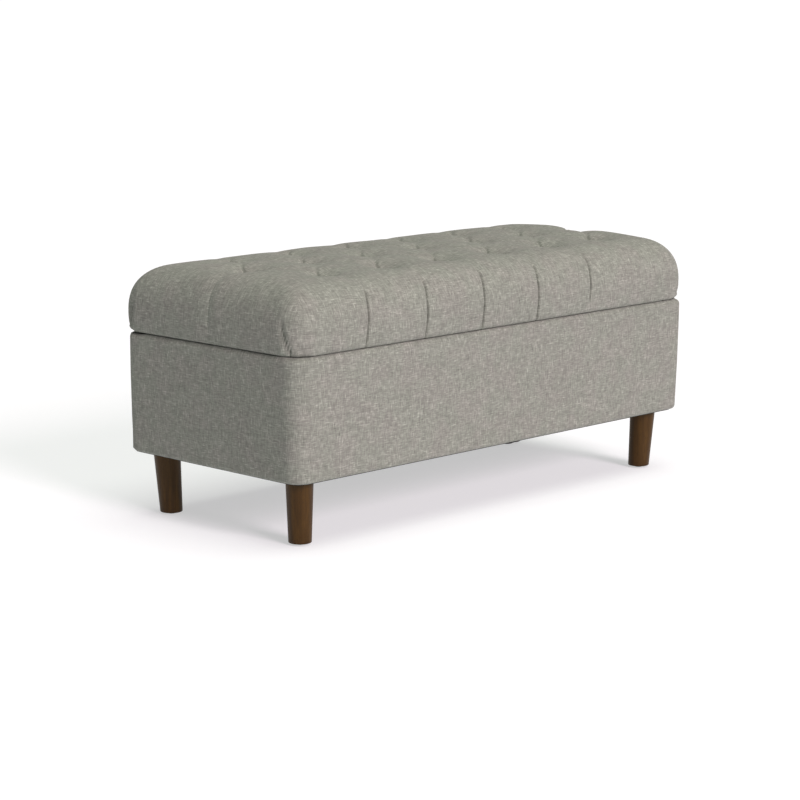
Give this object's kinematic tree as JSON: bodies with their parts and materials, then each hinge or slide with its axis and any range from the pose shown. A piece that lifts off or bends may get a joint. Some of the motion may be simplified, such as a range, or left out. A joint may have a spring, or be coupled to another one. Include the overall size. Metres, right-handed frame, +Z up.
{
  "type": "storage bench",
  "caption": "Upholstered storage bench: a padded box on tapered wood legs, with a tufted cushion lid hinged at the back and held open by folding stays.",
  "frame": {"origin": "on the floor, under the centre of the bench's footprint", "axes": "+X along the length, +Y towards the hinged back edge, +Z up"},
  "size_m": [1.016, 0.4572, 0.4572],
  "materials": {
    "tweed": "light grey tweed weave",
    "walnut": "satin walnut stain",
    "plywood": "sanded plywood",
    "pine": "planed pine",
    "foam": "open-cell polyurethane foam",
    "black_cloth": "black non-woven cloth",
    "lining_cloth": "charcoal lining cloth",
    "zinc_steel": "zinc-plated steel",
    "dark_plastic": "moulded dark plastic",
    "rubber": "soft black rubber"
  },
  "bodies": {
    "base": {"front_left_corner_post": "pine", "front_left_leg_block": "pine", "front_left_leg": "walnut", "front_left_leg_glide": "dark_plastic", "front_left_hanger_bolt": "zinc_steel", "front_left_t_nut": "zinc_steel", "front_right_corner_post": "pine", "front_right_leg_block": "pine", "front_right_leg": "walnut", "front_right_leg_glide": "dark_plastic", "front_right_hanger_bolt": "zinc_steel", "front_right_t_nut": "zinc_steel", "back_left_corner_post": "pine", "back_left_leg_block": "pine", "back_left_leg": "walnut", "back_left_leg_glide": "dark_plastic", "back_left_hanger_bolt": "zinc_steel", "back_left_t_nut": "zinc_steel", "back_right_corner_post": "pine", "back_right_leg_block": "pine", "back_right_leg": "walnut", "back_right_leg_glide": "dark_plastic", "back_right_hanger_bolt": "zinc_steel", "back_right_t_nut": "zinc_steel", "front_panel": "plywood", "back_panel": "plywood", "left_end_panel": "plywood", "right_end_panel": "plywood", "floor_panel": "plywood", "front_batten": "pine", "back_batten": "pine", "middle_batten": "pine", "body_cover": "tweed", "storage_lining": "lining_cloth", "dust_cover": "black_cloth", "left_hinge_base_leaf": "zinc_steel", "left_hinge_pin": "zinc_steel", "left_stay_base_plate": "zinc_steel", "left_lid_bumper": "rubber", "right_hinge_base_leaf": "zinc_steel", "right_hinge_pin": "zinc_steel", "right_stay_base_plate": "zinc_steel", "right_lid_bumper": "rubber"},
    "lid": {"lid_board": "plywood", "lid_foam": "foam", "lid_cover": "tweed", "lid_liner": "lining_cloth", "left_hinge_lid_leaf": "zinc_steel", "left_stay_lid_bracket": "zinc_steel", "right_hinge_lid_leaf": "zinc_steel", "right_stay_lid_bracket": "zinc_steel"},
    "left_lower_arm": {"left_stay_lower_arm": "zinc_steel", "left_stay_knee_rivet": "zinc_steel"},
    "left_upper_arm": {"left_stay_upper_arm": "zinc_steel"},
    "right_lower_arm": {"right_stay_lower_arm": "zinc_steel", "right_stay_knee_rivet": "zinc_steel"},
    "right_upper_arm": {"right_stay_upper_arm": "zinc_steel"}
  },
  "joints": [
    {"name": "lid_hinge", "type": "hinge", "parent": "base", "child": "lid", "pos_m": [0, 0.2257, 0.3254], "axis": [-1, 0, 0], "range_deg": [0, 85]},
    {"name": "left_stay_base_pivot", "type": "hinge", "parent": "base", "child": "left_lower_arm", "pos_m": [-0.476, 0.1797, 0.2254], "axis": [-1, 0, 0], "range_deg": [0, 85]},
    {"name": "left_stay_lid_pivot", "type": "hinge", "parent": "lid", "child": "left_upper_arm", "pos_m": [-0.4736, 0.0357, 0.3124], "axis": [-1, 0, 0], "range_deg": [-85, 0]},
    {"name": "right_stay_base_pivot", "type": "hinge", "parent": "base", "child": "right_lower_arm", "pos_m": [0.476, 0.1797, 0.2254], "axis": [-1, 0, 0], "range_deg": [0, 85]},
    {"name": "right_stay_lid_pivot", "type": "hinge", "parent": "lid", "child": "right_upper_arm", "pos_m": [0.4736, 0.0357, 0.3124], "axis": [-1, 0, 0], "range_deg": [-85, 0]}
  ],
  "couplings": [
    {"joint": "left_stay_base_pivot", "follows": "lid_hinge", "ratio": 1},
    {"joint": "left_stay_lid_pivot", "follows": "lid_hinge", "ratio": -1},
    {"joint": "right_stay_base_pivot", "follows": "lid_hinge", "ratio": 1},
    {"joint": "right_stay_lid_pivot", "follows": "lid_hinge", "ratio": -1}
  ]
}
